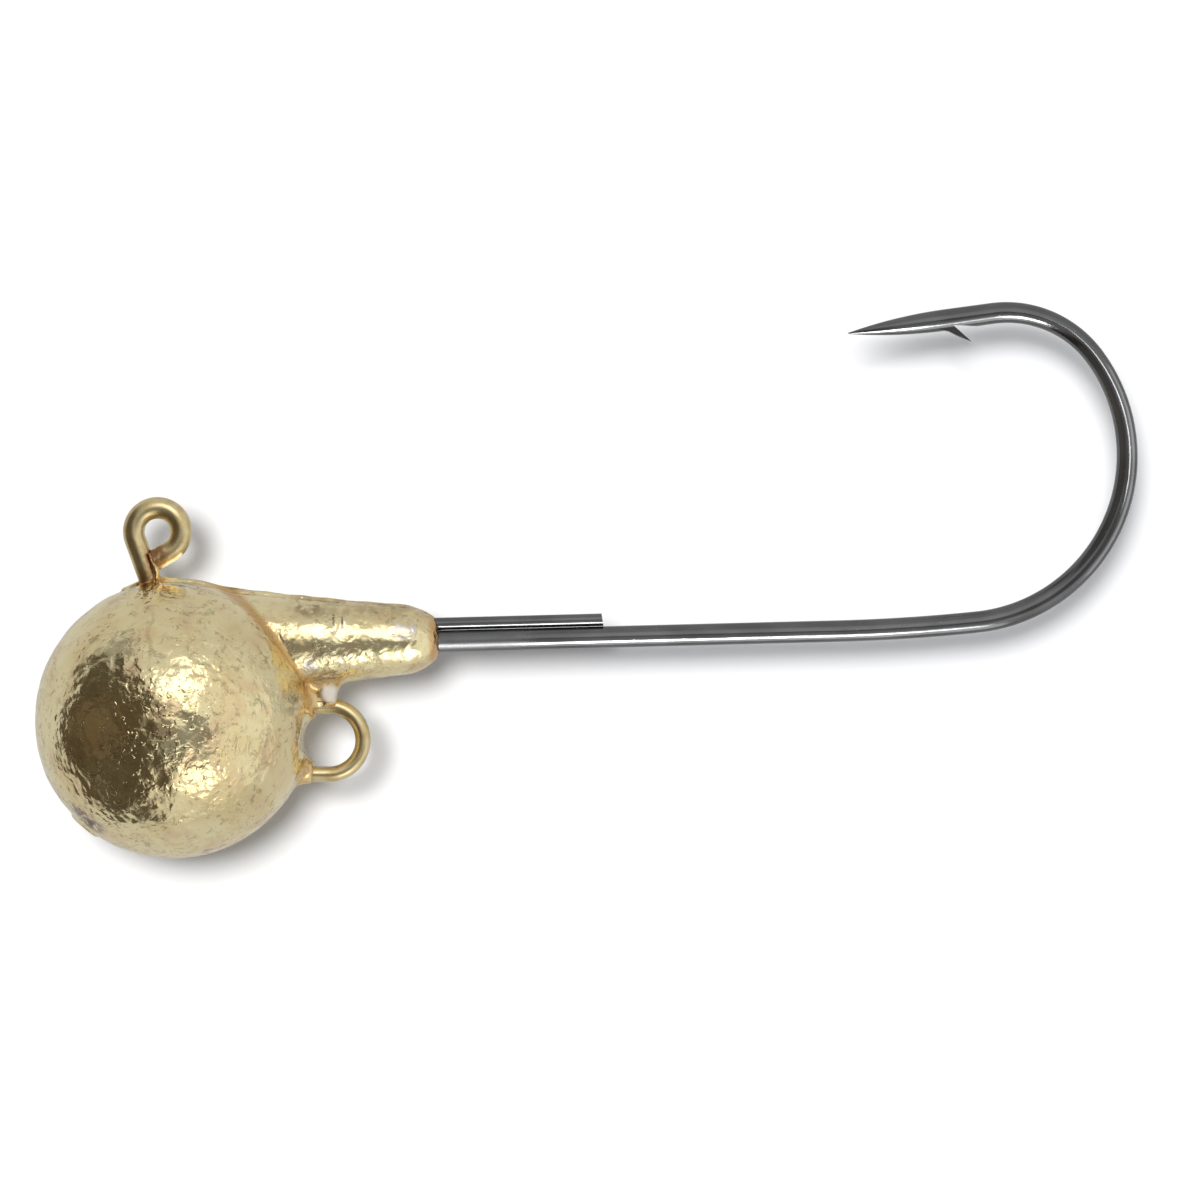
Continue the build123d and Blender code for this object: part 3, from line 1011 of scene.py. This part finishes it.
def make_table():
    """The white card that the jig head lies on, square to the camera, just clear of the ball."""
    back = (ball_radius + 0.15) * MM
    mesh = bpy.data.meshes.new("table")
    far_left = [(card_tear[-1][0], -card_side), (card_side, -card_side)]
    far_right = [(card_side, card_side), (card_tear[0][0], card_side)]
    corners = [Vector((x * MM, back, z * MM)) for x, z in card_tear + far_left + far_right]
    mesh.from_pydata(corners, [], [tuple(range(len(corners)))])
    table = link("table", mesh)
    mesh.materials.append(table_finish())


# Where the shadow falls, how soft its edge is, and the shares of light from the lamp and the tent.
shadow_right, shadow_down = 0.088, 0.115
shadow_softness = 13.0
sun_share = 0.79
fill_share = 0.29


def make_lamp():
    """Large soft lamp above the table, a little up and left, that casts the shadow."""
    lamp = bpy.data.lights.new("lamp", "SUN")
    lamp.energy = sun_share * pi / card_white
    lamp.angle = radians(shadow_softness)
    obj = bpy.data.objects.new("lamp", lamp)
    bpy.context.scene.collection.objects.link(obj)
    travel = Vector((shadow_right, 1, -shadow_down))
    obj.rotation_mode = "QUATERNION"
    obj.rotation_quaternion = travel.to_track_quat("-Z", "Y")
    obj.visible_glossy = False


# The lamps that light only some pieces are this far away.
lamp_distance = 2500 * MM
strip_steps = 12
box_sides = 48


def make_linked_lamp(name, pieces, points, faces, glow, centre=None, reach=0.0):
    """A glowing mesh that lights only the given pieces. With a centre it is brightest there."""
    mesh = bpy.data.meshes.new(name)
    mesh.from_pydata(points, [], faces)
    lamp = link(name, mesh)
    material = bpy.data.materials.new(name)
    material.use_nodes = True
    f = Finish(material.node_tree)
    strength = glow if centre is None else glow * f.near(f.place(), centre / MM, reach / MM)
    light = f.node("Emission", None, {"Color": (1, 1, 1, 1), "Strength": strength})
    surface = f.node("AddShader", None, {0: light, 1: f.node("BsdfTransparent")})
    f.node("OutputMaterial", None, {"Surface": surface})
    mesh.materials.append(material)
    lit = bpy.data.collections.new(name)
    for piece in pieces:
        lit.objects.link(piece)
    lamp.light_linking.receiver_collection = lit
    lamp.visible_camera = False
    lamp.visible_shadow = False


def make_strip_lamp(name, pieces, glow, rows):
    """Curved strip of light. Each row is a side angle round the camera's line, and two leans off it."""
    points = []
    for (side, low, high), (next_side, next_low, next_high) in zip(rows, rows[1:]):
        for share in np.linspace(0, 1, strip_steps):
            around = radians(side + share * (next_side - side))
            for lean in (low + share * (next_low - low), high + share * (next_high - high)):
                out = sin(radians(lean))
                aim = Vector((out * cos(around), -cos(radians(lean)), out * sin(around)))
                points.append(aim * lamp_distance)
    starts = [i for i in range(0, len(points) - 2, 2) if (i // 2 + 1) % strip_steps]
    faces = [(i, i + 1, i + 3, i + 2) for i in starts]
    make_linked_lamp(name, pieces, points, faces, glow)


def make_soft_box(name, pieces, glow, direction, reach):
    """Round soft box in a direction given as right, up and towards the camera."""
    right, up, toward = direction
    centre = Vector((right, -toward, up)).normalized() * lamp_distance
    radius = lamp_distance * tan(radians(reach))
    flat = centre.to_track_quat("Z", "Y")
    turns = np.linspace(0, 2 * pi, box_sides, endpoint=False)
    points = [centre + flat @ Vector((cos(turn), sin(turn), 0)) * radius for turn in turns]
    make_linked_lamp(name, pieces, points, [tuple(range(box_sides))], glow, np.array(centre), radius)


def make_tail_card(eye):
    """Small bright card close under the eye's free end, which it lights along its lower edge."""
    along, under = heading_vector(tail_heading), heading_vector(tail_heading - 90)
    middle = tail_end + under * hook_wire
    points = [
        Vector(middle + along * run + np.array([0, depth * hook_radius, 0])) * MM
        for run in (0.1, 1.9)
        for depth in (-0.7, 2)
    ]
    make_linked_lamp("tail_card", [eye], points, [(0, 1, 3, 2)], 1.4)


def make_surroundings():
    """White tent with an open dark side on the left and the dark of the camera."""
    world = bpy.data.worlds.new("tent")
    bpy.context.scene.world = world
    world.use_nodes = True
    f = Finish(world.node_tree)
    look = f.node("TexCoord", output="Generated")

    def patch(direction, reach, softness):
        """1 within reach degrees of a direction given as right, up and towards the camera."""
        right, up, toward = direction
        aim = Vector((right, -toward, up)).normalized()
        return f.dot(look, aim).step(cos(radians(reach + softness)), cos(radians(max(reach - softness, 0))))

    # The tent's cloth, with the dark of the camera and its stand before it.
    folds = f.noise(look, 0.16, 2.0, 0.6)
    camera = patch((-0.05, -0.24, 0.97), 21, 5).at_least(patch((0.30, -0.2, 0.93), 15, 5))
    camera = camera.at_least(patch((0.52, -0.22, 0.82), 8, 4))
    tent = (0.66 + 0.22 * patch((0.6, -0.25, 0.75), 50, 30)) * (0.80 + 0.40 * folds)
    tent = tent * (1 - 0.70 * camera) * (1 - 0.50 * patch((-0.66, 0.72, 0.20), 15, 5))
    # The dark of the room, warmer where wood shows in it.
    open_side = patch((-0.9, -0.27, 0.35), 60, 3).at_least(patch((-0.44, -0.88, 0.15), 18, 3))
    warm = patch((-0.9, -0.12, 0.43), 17, 8) * 0.7 + f.noise(look, 0.22, 3.0, 0.6).step(0.45, 0.65) * 0.5
    room = f.mix(warm.at_most(1.0), (0.080, 0.068, 0.053, 1), (0.165, 0.128, 0.092, 1))
    # Plain white for the camera, and an even level for soft light.
    camera_ray = f.node("LightPath", output="Is Camera Ray")
    diffuse_ray = f.node("LightPath", output="Is Diffuse Ray")
    studio = f.mix(open_side, (1, 1, 1, 1), room)
    level = open_side + (1 - open_side) * tent
    shown = f.mix(diffuse_ray, studio, (0.98, 1.0, 1.05, 1))
    shown = f.mix(camera_ray, shown, (1, 1, 1, 1))
    lit = camera_ray + (1 - camera_ray) * (diffuse_ray * fill_share + (1 - diffuse_ray) * level)
    sky = f.node("Background", None, {"Color": shown, "Strength": lit})
    f.node("OutputWorld", None, {"Surface": sky})


# ---- Assembly ----------------------------------------------------------------------------------


def fit(piece, material, node):
    """The piece rides on the one body and stands for its CAD node."""
    piece.data.materials.clear()
    piece.data.materials.append(material)
    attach(piece, "root")
    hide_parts(node)
    return piece


bpy.context.scene.view_settings.view_transform = "Standard"
make_camera()
make_table()
make_lamp()
make_surroundings()

gold, gold_wire, nickel = gilt_lead(), gilt_wire(), black_nickel()
casting = fit(make_casting(), gold, "head_casting")
eye = fit(make_eye(), gold_wire, "line_tie_eye")
ring = fit(make_ring(), gold_wire, "stinger_ring")
hook = fit(make_hook(), nickel, "hook")
pin = fit(make_pin(), nickel, "keeper_pin")

# Soft boxes light the gilt, and strips draw the light and dark lines along the black wires.
gilt = [casting, eye, ring]
make_soft_box("box_above", gilt, 1.5, (0.15, 0.50, 0.85), 21)
make_soft_box("box_below", gilt, 1.7, (0.36, -0.72, 0.6), 18)
make_tail_card(eye)
make_strip_lamp("line_below", [hook], 19.0, [(-106, 43, 63), (-84, 43, 63)])
make_strip_lamp("line_below_pin", [pin], 15.0, [(-106, 50, 63), (-80, 50, 63)])
make_strip_lamp("line_limb", [hook], 9.0, [(-84, 47, 58), (-76, 47, 58)])
make_strip_lamp("line_right", [hook], 7.0, [(-10, 28, 36), (14, 23, 33), (40, 10, 20)])
make_strip_lamp("glow_below", [hook, pin], 1.4, [(-110, 60, 92), (-70, 60, 92)])
make_strip_lamp("glow_front_low", [hook, pin], 0.30, [(-120, 0, 46), (-60, 0, 46)])
make_strip_lamp("glow_front_high", [hook, pin], 0.22, [(60, 0, 46), (120, 0, 46)])
make_strip_lamp("glow_left", [hook], 0.16, [(130, 5, 100), (230, 5, 100)])
make_strip_lamp("glow_right", [hook], 1.0, [(-40, 60, 90), (30, 60, 90)])
